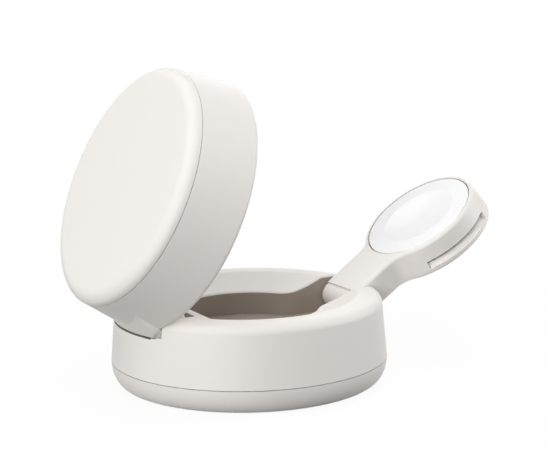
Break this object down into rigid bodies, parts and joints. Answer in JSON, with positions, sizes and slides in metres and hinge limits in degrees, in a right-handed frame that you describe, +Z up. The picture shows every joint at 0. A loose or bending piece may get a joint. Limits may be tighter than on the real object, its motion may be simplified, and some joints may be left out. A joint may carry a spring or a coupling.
{
  "type": "two in one wireless charging stand",
  "caption": "Round folding desk charger with a tilting magnetic disc that holds a phone upright and a hinged arm with a dished puck for a watch.",
  "frame": {"origin": "centre of the rubber foot's underside, on the table", "axes": "+Z up, +X towards the watch arm, -X towards the hinge of the phone disc"},
  "size_m": [0.1117, 0.068, 0.0785],
  "materials": {
    "shell": "fine matte moulded plastic",
    "pad": "soft-touch matte pad",
    "puck": "smooth white",
    "foot": "non-slip rubber",
    "steel": "bright",
    "ballast": "blackened plate",
    "board": "solder mask",
    "chips": "moulded packages",
    "copper": "enamelled copper wire",
    "ferrite": "sintered ferrite",
    "magnet": "nickel plated",
    "shield": "plain sheet",
    "frame": "black moulded plastic",
    "sleeve": "turned"
  },
  "bodies": {
    "base": {"base_top_shell": "shell", "base_bottom_cover": "shell", "foot_pad": "foot", "ballast_plate": "ballast", "main_circuit_board": "board", "main_board_parts": "chips", "charging_port": "steel", "base_screws": "steel", "phone_hinge_shaft": "steel", "watch_hinge_shaft": "steel"},
    "phone_disc": {"phone_disc_housing": "shell", "phone_charging_pad": "pad", "phone_magnet_ring": "magnet", "phone_coil": "copper", "phone_ferrite_sheet": "ferrite", "phone_coil_frame": "frame", "phone_shield_plate": "shield", "phone_circuit_board": "board", "phone_board_parts": "chips", "phone_frame_screws": "steel", "phone_hinge_sleeves": "sleeve"},
    "watch_arm": {"watch_arm_housing": "shell", "watch_arm_bottom_cover": "shell", "watch_charging_puck": "puck", "watch_coil": "copper", "watch_magnet": "magnet", "watch_ferrite_cup": "ferrite", "watch_circuit_board": "board", "watch_hinge_sleeve": "sleeve"}
  },
  "joints": [
    {"name": "phone_fold", "type": "hinge", "parent": "base", "child": "phone_disc", "pos_m": [-0.02717, 0, 0.01985], "axis": [0, 1, 0], "range_deg": [0, 63]},
    {"name": "watch_fold", "type": "hinge", "parent": "base", "child": "watch_arm", "pos_m": [0.02836, 0, 0.01685], "axis": [0, -1, 0], "range_deg": [0, 145.34]}
  ]
}
